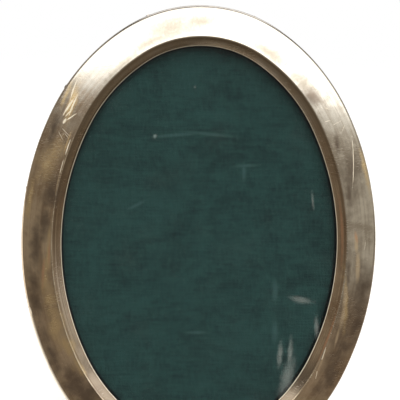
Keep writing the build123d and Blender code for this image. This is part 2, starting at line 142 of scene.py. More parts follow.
# Marks on the silver, an oval to a row: its shares of the way round, from the bottom by the
# right, and across the border, its half length and half width in millimetres, and its turn in
# degrees. They are painted reflections of the room, laid as tarnish and wear: the gold, pale gold
# and copper ones as tarnish worn through, the dark and dull ones as tarnish, and the bright ones
# as scratches with a painted glint.
gold_wear_and_reflection_marks = [
    (0.642, 0.13, 5, 1.0, 8),
    (0.642, 0.36, 9, 1.8, 12),
    (0.667, 0.67, 6, 0.5, 2),
    (0.690, 0.38, 10, 4.2, -8),
    (0.718, 0.14, 9, 1.4, 0),
    (0.755, 0.68, 8, 0.9, -3),
    (0.776, 0.56, 8, 1.8, -8),
    (0.792, 0.56, 11, 3.0, -4),
    (0.812, 0.58, 14, 3.4, 0),
    (0.832, 0.66, 12, 2.6, 3),
    (0.849, 0.72, 8, 1.5, 4),
    (0.205, 0.62, 12, 1.2, 12),
    (0.300, 0.08, 9, 1.2, 0),
]
rubbed_wear_and_reflection_marks = [
    (0.251, 0.53, 4.2, 1.00, 4),
    (0.234, 0.46, 7.0, 1.15, 5),
    (0.207, 0.66, 5.5, 0.90, 3),
    (0.192, 0.61, 5.5, 1.00, 5),
    (0.176, 0.58, 4.5, 0.60, 6),
    (0.150, 0.70, 7.0, 0.45, 4),
    (0.700, 0.74, 6.0, 0.30, 1),
]
copper_wear_and_reflection_marks = [
    (0.757, 0.70, 6.0, 0.50, -4),
    (0.772, 0.52, 6.0, 0.60, -9),
    (0.256, 0.53, 2.6, 0.70, 10),
    (0.172, 0.80, 12.0, 0.50, 0),
    (0.262, 0.88, 16.0, 0.60, 0),
]
dark_tarnish_and_reflection_marks = [
    (0.375, 0.58, 7, 3.0, 16),
    (0.668, 0.24, 7, 1.6, 8),
    (0.708, 0.62, 9, 4.0, 6),
    (0.738, 0.55, 10, 2.6, -6),
    (0.792, 0.24, 12, 3.2, -4),
    (0.750, 0.40, 12, 2.4, 0),
    (0.809, 0.14, 0.8, 0.5, 0),
    (0.808, 0.50, 11, 0.6, -2),
    (0.830, 0.22, 14, 3.2, 4),
    (0.872, 0.46, 22, 8.0, 0),
    (0.160, 0.34, 24, 4.6, 4),
    (0.192, 0.20, 16, 4.2, 0),
    (0.216, 0.24, 13, 4.2, 4),
    (0.290, 0.62, 9, 1.6, -6),
    (0.304, 0.46, 10, 4.4, -8),
    (0.330, 0.60, 5, 1.2, -12),
    (0.225, 0.68, 12, 1.2, 5),
]
dull_film_and_reflection_marks = [
    (0.530, 0.46, 14, 4.6, 0),
    (0.552, 0.62, 14, 2.0, 0),
    (0.500, 0.40, 10, 2.6, 4),
    (0.432, 0.62, 11, 2.2, 4),
    (0.390, 0.58, 9, 3.0, 8),
    (0.585, 0.70, 14, 1.6, 0),
    (0.631, 0.12, 6, 2.6, 0),
]
glint_and_scratch_marks = [
    (0.632, 0.20, 6.0, 0.34, 16),
    (0.645, 0.32, 5.6, 0.44, -4),
    (0.641, 0.40, 5.4, 0.36, 8),
    (0.649, 0.50, 3.6, 0.26, -24),
    (0.648, 0.40, 3.0, 0.24, -14),
    (0.655, 0.40, 1.6, 0.60, -10),
    (0.661, 0.52, 2.8, 0.10, 84),
    (0.666, 0.46, 2.2, 0.09, 60),
    (0.663, 0.60, 1.6, 0.09, 72),
    (0.669, 0.72, 4.6, 0.26, 2),
    (0.686, 0.73, 4.0, 0.16, 1),
    (0.797, 0.06, 1.6, 0.30, 0),
    (0.312, 0.33, 12.5, 0.22, -17),
    (0.359, 0.44, 2.2, 0.12, 40),
    (0.352, 0.60, 1.8, 0.12, 60),
    (0.345, 0.40, 2.6, 0.10, 75),
    (0.366, 0.30, 2.0, 0.08, 30),
    (0.338, 0.30, 3.0, 0.08, -60),
    (0.250, 0.30, 2.2, 0.08, -8),
    (0.158, 0.74, 3.4, 0.20, 6),
    (0.140, 0.66, 2.2, 0.12, 20),
]

# Edges of marks: where one starts and where it is whole, as shares of its half sizes. Where the
# second is below 0 a mark is whole only in places, with the help of its ragged noise.
crisp_edge = (1.1, 0.4)
clear_edge = (1.3, 0.3)
fold_edge = (1.4, 0.0)
smear_and_reflection_edge = (1.4, -0.1)
soft_edge = (1.5, 0.0)
faint_edge = (1.6, -0.2)

# Smeared marks on the glass, partly painted reflections of the room, an oval to a row: its place
# to the right of the middle and above the floor and its half sizes in millimetres, and its turn
# in degrees
glass_smears_and_reflections = [
    (44.2, 76.4, 5.2, 1.3, -10),
    (51.2, 64.2, 1.0, 5.0, 4),
    (35.4, 53.0, 1.2, 5.4, -4),
    (39.8, 54.0, 1.2, 7.0, -3),
    (38.6, 43.5, 2.8, 9.0, -14),
    (-19.5, 144.6, 1.0, 0.7, 30),
    (-2.6, 164.9, 0.6, 0.5, 0),
    (48.6, 118.0, 0.5, 3.4, 6),
]

# Folds of the velvet behind the glass, and its sharper creases, paler with a painted highlight, in
# the same way
velvet_folds = [
    (-20.0, 62.0, 17.0, 3.0, 12),
    (-32.0, 54.0, 5.0, 9.0, -30),
    (14.0, 57.0, 16.0, 2.6, -14),
    (26.0, 62.0, 12.0, 4.0, 30),
    (-28.0, 118.0, 8.0, 2.0, 25),
    (0.0, 75.0, 9.0, 3.0, 0),
    (-5.0, 170.0, 9.0, 12.0, 0),
    (10.0, 152.0, 14.0, 3.0, -8),
    (-30.0, 142.5, 14.0, 1.2, -8),
]
lit_velvet_creases = [
    (-11.0, 144.7, 11.0, 0.8, 5),
    (4.0, 145.2, 12.0, 0.8, -5),
    (33.0, 79.6, 1.4, 4.6, 0),
    (33.2, 62.7, 1.5, 4.6, 0),
    (18.9, 129.6, 1.0, 4.0, 0),
    (19.5, 132.2, 5.5, 0.8, 3),
    (-27.0, 115.6, 4.0, 0.7, 26),
    (-1.0, 62.0, 5.0, 0.7, 0),
]

# Camera, as it stood for the photograph, with its lens in millimetres
camera_lens = 135
camera_azimuth = radians(-3.48)
camera_elevation = radians(19.04)
camera_roll = radians(1.42)
camera_target = Vector((-0.6, -18.0, 121.9)) * MM
camera_distance = 631.4 * MM
camera_range = (0.01, 20)

# Stage, in metres
frame_middle = Vector((0, 0, 100)) * MM
floor_radius = 4.0

ridge_inset = border_width - bevel_width
ridge_share = ridge_inset / border_width
ring_size = (pi * (half_width + half_height) / MM, border_width / MM)

# Moves: from the upright drawing to the standing frame, and of the strut from folded to open
hinge_joint = next(joint for joint in frame["joints"] if joint["name"] == "strut_fold")
HINGE_PLACE = Vector((0, hinge_depth, hinge_height))
STAND = (
    Matrix.Translation(hinge_joint["pos_m"])
    @ Matrix.Rotation(-lean, 4, "X")
    @ Matrix.Translation(-HINGE_PLACE)
)
SWING = (
    Matrix.Translation(HINGE_PLACE)
    @ Matrix.Rotation(strut_opening, 4, "X")
    @ Matrix.Translation(-HINGE_PLACE)
)


# Shader wires: arithmetic on an output adds the Math nodes


class Wire:
    """Output of a node in one finish."""

    def __init__(self, finish, socket):
        self.finish = finish
        self.socket = socket

    def math(self, operation, *values):
        return self.finish.add("ShaderNodeMath", {"operation": operation}, dict(enumerate(values)))

    def __add__(self, other):
        return self.math("ADD", self, other)

    __radd__ = __add__

    def __sub__(self, other):
        return self.math("SUBTRACT", self, other)

    def __rsub__(self, other):
        return self.math("SUBTRACT", other, self)

    def __mul__(self, other):
        return self.math("MULTIPLY", self, other)

    __rmul__ = __mul__

    def __pow__(self, other):
        return self.math("POWER", self, other)

    def __abs__(self):
        return self.math("ABSOLUTE", self)

    def sine(self):
        return self.math("SINE", self)

    def least(self, other):
        return self.math("MINIMUM", self, other)

    def most(self, other):
        return self.math("MAXIMUM", self, other)

    def rise(self, start, end):
        """0 below start and 1 above end, smoothly. It falls where start is above end."""
        span = {"From Min": min(start, end), "From Max": max(start, end)}
        ends = {"To Min": float(start > end), "To Max": float(start < end)}
        settings = {"interpolation_type": "SMOOTHSTEP"}
        return self.finish.add("ShaderNodeMapRange", settings, {"Value": self, **span, **ends})


class Finish:
    """One material, or the world, and the few ways of adding nodes to it."""

    def __init__(self, name, store=bpy.data.materials):
        self.material = store.new(name)
        self.material.use_nodes = True
        self.tree = self.material.node_tree
        self.tree.nodes.clear()

    def add(self, kind, settings=None, inputs=None, output=0):
        """Adds a node: its settings first, then values or wires for its sockets."""
        node = self.tree.nodes.new(kind)
        for name, value in (settings or {}).items():
            setattr(node, name, value)
        for name, value in (inputs or {}).items():
            if isinstance(value, Wire):
                self.tree.links.new(value.socket, node.inputs[name])
            else:
                node.inputs[name].default_value = value
        return Wire(self, node.outputs[output]) if node.outputs else None

    def object_place(self):
        return self.add("ShaderNodeTexCoord", output="Object")

    def own_map(self, name):
        return self.add("ShaderNodeUVMap", {"uv_map": name})

    def axes(self, place):
        apart = {"Vector": place}
        return [self.add("ShaderNodeSeparateXYZ", inputs=apart, output=axis) for axis in "XYZ"]

    def turned(self, place, rotation=(0, 0, 0), scale=(1, 1, 1)):
        moves = {"Vector": place, "Rotation": rotation, "Scale": scale}
        return self.add("ShaderNodeMapping", inputs=moves)

    def join(self, x, y, z):
        return self.add("ShaderNodeCombineXYZ", inputs={"X": x, "Y": y, "Z": z})

    def marks(self, flat, ragged, places, size, edge):
        """1 inside the ragged ovals that are listed by place, half size and turn, and 0 outside.

        Size is that of the whole map, in the unit of the half sizes.
        """
        most = None
        for along, across, length, width, turn in places:
            spot = self.add(
                "ShaderNodeMapping",
                {"vector_type": "TEXTURE"},
                {
                    "Vector": flat,
                    "Location": (along * size[0], across * size[1], 0),
                    "Rotation": (0, 0, radians(turn)),
                    "Scale": (length, width, 1),
                },
            )
            reach = self.add("ShaderNodeVectorMath", {"operation": "LENGTH"}, {0: spot}, "Value")
            mark = (reach + ragged).rise(*edge)
            most = mark.most(most) if most else mark
        return most

    def flat_marks(self, ragged, places, edge):
        """Marks seen from the front, placed in millimetres from the middle and the floor."""
        x, _, z = self.axes(self.object_place())
        flat = self.turned(self.join(x, z, 0), scale=(1 / MM, 1 / MM, 1))
        return self.marks(flat, ragged, places, (1, 1), edge)

    def cloud(self, place, scale, detail=2.0, roughness=0.5, distortion=0.0):
        """Noise about 0.5. Its scale is in waves to the metre."""
        values = {
            "Vector": place,
            "Scale": scale,
            "Detail": detail,
            "Roughness": roughness,
            "Distortion": distortion,
        }
        return self.add("ShaderNodeTexNoise", inputs=values)

    def mix(self, share, first, second):
        """Mixes two colours: the first for a share of 0, the second for 1."""
        sockets = {0: share, 6: first, 7: second}
        return self.add("ShaderNodeMix", {"data_type": "RGBA"}, sockets, output=2)

    def blend(self, share, first, second):
        """Mixes two shaders."""
        return self.add("ShaderNodeMixShader", inputs={0: share, 1: first, 2: second})

    def bump(self, height, distance, strength=1.0):
        """Normal that follows the height, 1 standing for the distance in metres."""
        values = {"Height": height, "Distance": distance, "Strength": strength}
        return self.add("ShaderNodeBump", inputs=values)

    def principled(self, **values):
        """Surface from the sockets' names, with an underscore for each space."""
        sockets = {name.replace("_", " "): value for name, value in values.items()}
        return self.add("ShaderNodeBsdfPrincipled", inputs=sockets)

    def close(self, surface, kind="ShaderNodeOutputMaterial"):
        self.add(kind, inputs={"Surface": surface})
        return self.material


def colour(red, green, blue):
    return (red, green, blue, 1.0)


def grey(value):
    return colour(value, value, value)


# Mesh helpers

# Vertices closer than these are one: a length, and a share of a disc's radius
merge_gap = 0.01 * MM
merge_share = 0.0001


def spoke(angle):
    """Direction from the oval's middle out, by its angle from the top towards +X."""
    return Vector((sin(angle), 0, cos(angle)))


def quarter_arcs():
    """Centre, radius and turn in degrees of the arcs from the top to the right side."""
    middle_radius = (half_width * half_height) ** 0.5
    first = spoke(radians(end_arc_turn))
    last = spoke(radians(end_arc_turn + middle_arc_turn))
    wide = half_width - middle_radius * (last.x - first.x)
    high = half_height - middle_radius * (first.z - last.z)
    share = first.x * last.z - (1 - last.x) * (1 - first.z)
    end_radius = (wide * last.z - high * (1 - last.x)) / share
    side_radius = (high * first.x - wide * (1 - first.z)) / share
    end_centre = Vector((0, 0, half_height - end_radius))
    middle_centre = end_centre + first * (end_radius - middle_radius)
    side_centre = Vector((half_width - side_radius, 0, 0))
    return [
        (end_centre, end_radius, end_arc_turn),
        (middle_centre, middle_radius, middle_arc_turn),
        (side_centre, side_radius, 90 - end_arc_turn - middle_arc_turn),
    ]


def whole_round():
    """Centres and turns of all the arcs, once round from the top."""
    quarter = quarter_arcs()
    arcs = []
    for across, upward, order in ((1, 1, 1), (1, -1, -1), (-1, -1, 1), (-1, 1, -1)):
        for centre, _, turn in quarter[::order]:
            arcs.append((Vector((across * centre.x, 0, upward * centre.z)), turn))
    return arcs


def wire_of(bm, points):
    """Chain of edges through points."""
    verts = [bm.verts.new(point) for point in points]
    for start, end in zip(verts, verts[1:]):
        bm.edges.new((start, end))
    return verts


def round_corner(bm, vert, radius, segments):
    """Rounds a corner of a chain to that radius."""
    ends = [edge.other_vert(vert).co - vert.co for edge in vert.link_edges]
    turn = pi - ends[0].angle(ends[1])
    bevel_vert(bm, vert, radius * tan(turn / 2), segments)


def bevel_vert(bm, vert, offset, segments):
    """Rounds a corner from that far along the edges on each side of it."""
    bmesh.ops.bevel(
        bm,
        geom=[vert],
        offset=offset,
        offset_type="OFFSET",
        segments=segments,
        profile=0.5,
        affect="VERTICES",
        material=-1,
    )


def carry_round(bm, steps_apart):
    """Spins the chain in bm, drawn at the top, once round the oval, with steps in degrees."""
    geom = bm.verts[:] + bm.edges[:]
    for centre, turn in whole_round():
        made = bmesh.ops.spin(
            bm,
            geom=geom,
            cent=centre,
            axis=(0, 1, 0),
            angle=radians(turn),
            steps=round(turn / steps_apart),
            use_duplicate=False,
        )
        geom = made["geom_last"]
    bmesh.ops.remove_doubles(bm, verts=bm.verts[:], dist=merge_gap)


def at_top(inset, depth):
    """Point of a section at the oval's top."""
    return Vector((0, depth, half_height - inset))


def piece_from(bm, name, material, smooth_angle=radians(50)):
    """Object with the bmesh's mesh, shaded smooth where faces meet by less than the angle."""
    mesh = bpy.data.meshes.new(name)
    bm.to_mesh(mesh)
    bm.free()
    mesh.shade_smooth()
    mesh.set_sharp_from_angle(angle=smooth_angle)
    mesh.materials.append(material)
    piece = bpy.data.objects.new(name, mesh)
    bpy.context.scene.collection.objects.link(piece)
    return piece


def stand_up(bm, move=STAND):
    """Moves a mesh that was drawn upright to its place in the frame."""
    bmesh.ops.transform(bm, matrix=move, verts=bm.verts[:])


def thicken(piece, thickness, offset=-1):
    """Gives a sheet its thickness, towards its inside for an offset of -1."""
    wall = piece.modifiers.new("thickness", "SOLIDIFY")
    wall.thickness = thickness
    wall.offset = offset
    wall.use_even_offset = True


def dress(node, material):
    """Gives a solid piece of the frame its finish."""
    piece = frame["nodes"][node]
    piece.data.materials.clear()
    piece.data.materials.append(material)


# Finishes

# Tones of the silver: clean, tarnished, worn through, painted reflections laid as tarnish and
# wear, painted highlight and shade, and as it mirrors the room at its edges
warm_silver = colour(0.86, 0.70, 0.50)
grey_silver = colour(0.88, 0.81, 0.69)
lit_upper_silver = colour(0.93, 0.89, 0.80)
brown_tarnish = colour(0.50, 0.36, 0.23)
grey_tarnish = colour(0.52, 0.45, 0.36)
dark_tarnish_and_reflection = colour(0.25, 0.195, 0.15)
dull_film_and_reflection = colour(0.50, 0.44, 0.35)
old_gold_and_reflection = colour(0.98, 0.76, 0.44)
rubbed_gold_and_reflection = colour(1.0, 0.82, 0.58)
worn_copper_and_reflection = colour(0.98, 0.60, 0.38)
bare_silver_and_glint = colour(1.0, 0.90, 0.72)
scratched_silver = colour(0.98, 0.90, 0.78)
low_bevel_shade = colour(0.36, 0.245, 0.15)
high_bevel_shade = colour(0.28, 0.22, 0.145)
lit_bevel = colour(0.98, 0.87, 0.76)
foot_bevel_shade = colour(0.26, 0.215, 0.165)
lit_roll = colour(0.98, 0.90, 0.77)
wall_shade = colour(0.34, 0.285, 0.225)
crest_shade = colour(0.10, 0.085, 0.075)
lip_shade = colour(0.10, 0.07, 0.05)

# Tones of the velvet and its lining, with a painted highlight for its creases and a painted
# shadow under the silver's lip
velvet_base = colour(0.0075, 0.023, 0.022)
velvet_high = colour(0.027, 0.080, 0.075)
velvet_crease_highlight = colour(0.055, 0.12, 0.113)
velvet_sheen = colour(0.30, 0.62, 0.60)
velvet_lip_shadow = colour(0.003, 0.004, 0.004)
lining_base = colour(0.012, 0.035, 0.032)
lining_high = colour(0.02, 0.05, 0.045)

# Tones of the other materials
silk_base = colour(0.012, 0.05, 0.045)
silk_high = colour(0.03, 0.10, 0.09)
clear_glass = colour(0.97, 0.99, 0.98)
glass_film_and_reflection = colour(0.62, 0.66, 0.62)
glass_shadow = colour(0.94, 0.96, 0.95)
new_brass = colour(0.72, 0.52, 0.24)
old_brass = colour(0.26, 0.17, 0.08)
pin_silver = colour(0.56, 0.48, 0.38)
pin_tarnish = colour(0.34, 0.27, 0.2)
steel_grey = grey(0.42)
steel_rust = colour(0.18, 0.13, 0.09)
core_light = colour(0.30, 0.19, 0.10)
core_dark = colour(0.16, 0.09, 0.045)
board_light = colour(0.42, 0.32, 0.2)
board_dark = colour(0.28, 0.2, 0.12)
floor_white = grey(0.93)
floor_dark = colour(0.15, 0.13, 0.11)

# Tones of the room that the silver mirrors
room_left = colour(0.23, 0.205, 0.175)
room_right = colour(0.37, 0.345, 0.30)
room_by_camera = grey(0.11)
overhead_glow = colour(0.98, 0.95, 0.90)
overhead_patch = colour(1.75, 1.72, 1.66)


class SilverFinish(Finish):
    """Old silver: tarnish in clouds, worn edges, fine scratches and the marks of this frame, which
    are painted reflections laid as tarnish and wear, with painted light and shade on its border.

    Spans across are shares of the border, below 0 down the side wall and above 1 in the lip.
    Spans of x and z are in metres to the right of the middle and above the floor.
    """

    def __init__(self):
        super().__init__("old_silver")
        self.place = self.object_place()
        self.x, _, self.z = self.axes(self.place)
        ring = self.own_map("ring")
        self.ring = self.turned(ring, scale=(*ring_size, 1))
        self.across = self.axes(ring)[1]
        self.find_clouds()
        self.find_edges()
        self.gold = self.ring_marks(self.frayed, gold_wear_and_reflection_marks, soft_edge)
        self.bright = self.ring_marks(self.ragged * 0.9, glint_and_scratch_marks, crisp_edge)

    def find_clouds(self):
        """Uneven masks: the metal's clouds, streaks and scratches."""
        place = self.place
        self.broad = self.cloud(place, 50, detail=3, roughness=0.55, distortion=0.8)
        self.wear = self.cloud(place, 160, detail=2)
        self.ragged = self.cloud(place, 420, detail=3, roughness=0.6, distortion=1.0) - 0.5
        self.frayed = self.ragged * 0.8 + (self.wear - 0.5) * 2.4
        self.brushed = self.cloud(self.streaked(14, 13), 1.3, detail=3, roughness=0.65)
        lines = self.cloud(self.streaked(16, 75), 1.0, detail=1, roughness=0.4)
        self.lines = lines.rise(0.36, 0.64)
        fine = self.cloud(place, 300, detail=4, roughness=0.65)
        self.cloudy = self.broad * 0.55 + fine * 0.25 + self.brushed * 0.3
        one_way = self.cloud(self.turned(place, (0, 0.5, 0), (1, 1, 22)), 330, detail=2)
        other_way = self.cloud(self.turned(place, (0, -1.0, 0), (1, 1, 26)), 300, detail=2)
        crossed = one_way.rise(0.60, 0.70).most(other_way.rise(0.62, 0.72))
        self.scratches = crossed * self.broad.rise(0.4, 0.6)

    def find_edges(self):
        """Masks that follow the border's section."""
        x, z, across = self.x, self.z, self.across
        self.bevel = across.rise(0.765, 0.80)
        self.ridge_band_shade = across.rise(0.785, 0.80) * across.rise(0.845, 0.82)
        self.roll = across.rise(0.095, 0.065) * z.rise(0.085, 0.06) * x.rise(0.02, -0.03)
        high_wall = across.rise(0.030, -0.01) * z.rise(0.05, 0.09)
        low_wall = across.rise(-0.03, -0.08) * z.rise(0.09, 0.05)
        self.wall = high_wall + low_wall
        top_line = (across - z.rise(0.180, 0.192) * 0.03).rise(0.040, 0.012)
        self.crest = top_line * z.rise(0.15, 0.185) * (x.rise(-0.05, -0.02) * 0.5 + 0.35)
        self.lip = across.rise(0.980, 0.992) * across.rise(1.025, 1.012)
        self.lip_inside = across.rise(1.012, 1.028)
        self.worn = abs(across - ridge_share).rise(0.022, 0.004) * (self.wear * 1.6 - 0.3)

    def streaked(self, along, across):
        """Place that draws noise out into streaks round the border."""
        return self.join(self.x * along, self.across * across, self.z * along)

    def ring_marks(self, ragged, places, edge):
        return self.marks(self.ring, ragged, places, ring_size, edge)

    def tarnished(self):
        """Clean silver and tarnish in clouds, greyer on the right, and lighter at the top as a
        painted highlight.
        """
        x, z = self.x, self.z
        band = 1 - self.bevel
        grey_side = x.rise(-0.02, 0.06) * z.rise(0.05, 0.10) * band
        # Less tarnish and lighter silver at the top of the band are a painted highlight, where it
        # mirrors the light overhead
        polished = z.rise(0.155, 0.175) * band
        clean = self.mix(grey_side, warm_silver, grey_silver)
        clean = self.mix(z.rise(0.13, 0.17), clean, lit_upper_silver)
        brown = self.mix(grey_side, brown_tarnish, grey_tarnish)
        tint = self.mix(self.cloudy.rise(0.42, 0.68) * (1 - polished * 0.85), clean, brown)
        frayed = self.ragged * 1.5 + (self.broad - 0.5) * 2
        film_and_reflection = self.ring_marks(frayed, dull_film_and_reflection_marks, faint_edge)
        return self.mix(film_and_reflection * 0.85, tint, dull_film_and_reflection)

    def on_bevel(self, tint):
        """The bevel, streaked, with painted shade high up, along its streaks and at its foot, and
        a painted pale reflection low on its left.
        """
        x, z, lines, ridge_band_shade = self.x, self.z, self.lines, self.ridge_band_shade
        # Painted shade on the bevel: darkest high up, along its streaks and in a band by the ridge
        high = z.rise(0.07, 0.14) * (1 - x.rise(0.02, 0.06) * z.rise(0.16, 0.14) * 0.45)
        shade = self.bevel * (high * 0.62 + lines * 0.40 + ridge_band_shade * 0.35)
        tint = self.mix(shade, tint, self.mix(z.rise(0.08, 0.15), low_bevel_shade, high_bevel_shade))
        low_left = x.rise(-0.01, -0.04) * z.rise(0.115, 0.08) * z.rise(0.02, 0.06)
        pale = low_left * self.bevel * (0.7 - lines * 0.5 - ridge_band_shade * 0.3)
        tint = self.mix(pale, tint, lit_bevel)
        # Painted shade at the foot of the bevel
        foot = z.rise(0.058, 0.045) * self.bevel
        return self.mix(foot * 0.8, tint, foot_bevel_shade)

    def with_marks(self, tint):
        """Painted reflections laid as marks: tarnish gone dark, then places where it is worn
        through.
        """
        dark = self.ring_marks(self.frayed, dark_tarnish_and_reflection_marks, faint_edge)
        rubbed_and_reflecting = self.ring_marks(self.ragged * 0.8, rubbed_wear_and_reflection_marks, clear_edge)
        copper = self.ring_marks(self.ragged * 0.8, copper_wear_and_reflection_marks, soft_edge)
        tint = self.mix(dark * 0.9, tint, dark_tarnish_and_reflection)
        tint = self.mix(self.gold, tint, old_gold_and_reflection)
        tint = self.mix(rubbed_and_reflecting * 0.9, tint, rubbed_gold_and_reflection)
        return self.mix(copper * 0.8, tint, worn_copper_and_reflection)

    def at_edges(self, tint):
        """Painted light on the roll, painted shade on wall, crest and inside the lip, the worn
        ridge and lip in plain metal, and the bright marks as scratches with a painted glint.
        """
        bare_and_glinting = self.bright.most(self.worn * 0.7).most(self.lip)
        tint = self.mix(self.roll * 0.8, tint, lit_roll)
        tint = self.mix(self.wall * 0.85, tint, wall_shade)
        tint = self.mix(self.crest, tint, crest_shade)
        tint = self.mix(bare_and_glinting, tint, bare_silver_and_glint)
        tint = self.mix(self.lip_inside, tint, lip_shade)
        return self.mix(self.scratches * 0.3, tint, scratched_silver)

    def roughness(self):
        """Polished, and duller with tarnish and on every worn or scratched place."""
        matt = self.scratches * 0.12 + self.bright * 0.35 + self.worn * 0.15
        matt = matt + self.lip * 0.3 + self.gold * 0.1 + self.roll * 0.28 + self.wall * 0.3
        return self.cloudy * 0.16 + 0.07 + matt

    def height(self):
        """Relief for the bump: slight dents, scratches and streaks."""
        streaks = (self.brushed + self.bevel * self.lines * 0.5) * 0.04
        return self.cloud(self.place, 90, detail=2) * 0.5 + self.scratches * 0.03 + streaks


def silver_finish():
    finish = SilverFinish()
    tint = finish.on_bevel(finish.tarnished())
    tint = finish.at_edges(finish.with_marks(tint))
    # The bright marks, scratches with a painted glint, and lip and wall are less metallic, so that
    # they catch light from all sides
    evenly_lit = finish.bright.most(finish.lip).most(finish.wall * 0.7)
    surface = finish.principled(
        Base_Color=tint,
        Metallic=1 - evenly_lit * 0.75,
        Roughness=finish.roughness(),
        Normal=finish.bump(finish.height(), 0.10 * MM),
    )
    return finish.close(surface)


def velvet_finish(name, base, high, behind_glass=False):
    """Cotton velvet: short pile, faint weave, and nap that was pressed and brushed unevenly."""
    finish = Finish(name)
    place = finish.object_place()
    nap = finish.cloud(place, 38, detail=4, roughness=0.6, distortion=1.4)
    low = finish.turned(place, scale=(1, 1, 1.7))
    patches = finish.cloud(low, 130, detail=3, roughness=0.6, distortion=0.6)
    pile = finish.cloud(place, 1700, detail=3, roughness=0.8)
    weft = finish.cloud(finish.turned(place, (0, 0.05, 0), (0.1, 1, 1)), 1100)
    warp = finish.cloud(finish.turned(place, (0, 0.04, 0), (1, 1, 0.1)), 1000)
    share = nap * 0.5 + patches * 0.35 + pile * 0.25 + (weft + warp) * 0.28
    tint = finish.mix(share.rise(0.47, 1.03) * 0.8, base, high)
    level = finish.turned(place, scale=(0.22, 1, 2.2))
    creases = finish.cloud(level, 60, detail=2, roughness=0.5, distortion=0.5)
    pressed = abs(creases - 0.5).rise(0.02, 0.0) * nap.rise(0.5, 0.62) * 0.3
    if behind_glass:
        pressed = pressed + finish.flat_marks((nap - 0.5) * 2.5, velvet_folds, fold_edge) * 0.4
    tint = finish.mix(pressed, tint, high)
    # Behind the glass the creases get a painted highlight and the velvet a painted shadow under
    # the lip
    if behind_glass:
        tint = lit_creases_and_lip_shadow(finish, tint, pile)
    surface = finish.principled(
        Base_Color=tint,
        Roughness=0.95,
        Sheen_Weight=0.10,
        Sheen_Roughness=0.4,
        Sheen_Tint=velvet_sheen,
        Specular_IOR_Level=0.15,
        Normal=finish.bump(pile * 0.6 + patches * 0.5 + nap * 0.8 + weft + warp, 0.25 * MM, 0.8),
    )
    return finish.close(surface)


def lit_creases_and_lip_shadow(finish, tint, pile):
    """Adds the creases with a painted highlight, and a painted shadow on the velvet under the
    silver's lip.
    """
    creases = finish.flat_marks((pile - 0.5) * 1.2, lit_velvet_creases, soft_edge)
    tint = finish.mix(creases * 0.7, tint, velvet_crease_highlight)
    inside = finish.axes(finish.own_map("rim"))[0]
    # Painted shadow of the silver's lip on the velvet, darkest at the sight edge
    lip_shadow = inside.rise(0.95, 0.35) * 0.75 + inside.rise(4.5, 0) * 0.2
    return finish.mix(lip_shadow, tint, velvet_lip_shadow)


def glass_finish():
    """Clear glass with dust, specks and pale smeared marks, partly painted reflections of the
    room, which lets the lamps' light through.
    """
    finish = Finish("old_glass")
    place = finish.object_place()
    ragged = finish.cloud(place, 300, detail=3, roughness=0.6, distortion=0.6) - 0.5
    smears_and_reflections = finish.flat_marks(ragged * 1.6, glass_smears_and_reflections, smear_and_reflection_edge)
    dust = finish.cloud(place, 60, detail=4, roughness=0.6).rise(0.5, 0.9) * 0.01
    specks = finish.cloud(place, 900, detail=1).rise(0.80, 0.84) * 0.10
    clear = finish.principled(
        Base_Color=clear_glass,
        Roughness=0.015,
        IOR=1.5,
        Transmission_Weight=1.0,
    )
    film_and_reflection = finish.add("ShaderNodeBsdfDiffuse", inputs={"Color": glass_film_and_reflection})
    dusty_and_reflecting = finish.blend(dust + specks + smears_and_reflections * 0.13, clear, film_and_reflection)
    through = finish.add("ShaderNodeBsdfTransparent", inputs={"Color": glass_shadow})
    lamp_ray = finish.add("ShaderNodeLightPath", output="Is Shadow Ray")
    return finish.close(finish.blend(lamp_ray, dusty_and_reflecting, through))


def brass_finish():
    finish = Finish("aged_brass")
    place = finish.object_place()
    broad = finish.cloud(place, 180, detail=3, roughness=0.6)
    fine = finish.cloud(place, 1400, detail=3, roughness=0.6)
    age = broad * 0.7 + fine * 0.3
    surface = finish.principled(
        Base_Color=finish.mix(age.rise(0.35, 0.68), new_brass, old_brass),
        Metallic=1.0,
        Roughness=age * 0.3 + 0.2,
        Normal=finish.bump(fine, 0.03 * MM),
    )
    return finish.close(surface)


def pin_finish():
    """Small silver heads, as tarnished as the side wall around them."""
    finish = Finish("tarnished_silver")
    fine = finish.cloud(finish.object_place(), 900, detail=3, roughness=0.6)
    surface = finish.principled(
        Base_Color=finish.mix(fine.rise(0.35, 0.7), pin_silver, pin_tarnish),
        Metallic=1.0,
        Roughness=fine * 0.2 + 0.2,
        Normal=finish.bump(fine, 0.02 * MM),
    )
    return finish.close(surface)


def steel_finish():
    finish = Finish("dull_steel")
    fine = finish.cloud(finish.object_place(), 1100, detail=3, roughness=0.6)
    surface = finish.principled(
        Base_Color=finish.mix(fine.rise(0.4, 0.7), steel_grey, steel_rust),
        Metallic=1.0,
        Roughness=fine * 0.3 + 0.3,
        Normal=finish.bump(fine, 0.03 * MM),
    )
    return finish.close(surface)


def wood_finish(name, light, dark):
    """Wood or pasteboard with its grain upright."""
    finish = Finish(name)
    place = finish.object_place()
    grain = finish.cloud(finish.turned(place, scale=(1, 1, 0.08)), 900, detail=3, roughness=0.6)
    drawn_out = finish.turned(place, scale=(1, 1, 0.15))
    figure = finish.cloud(drawn_out, 120, detail=2, roughness=0.5, distortion=0.4)
    surface = finish.principled(
        Base_Color=finish.mix((grain * 0.5 + figure * 0.5).rise(0.4, 0.62), light, dark),
        Roughness=0.7,
        Normal=finish.bump(grain, 0.05 * MM),
    )
    return finish.close(surface)


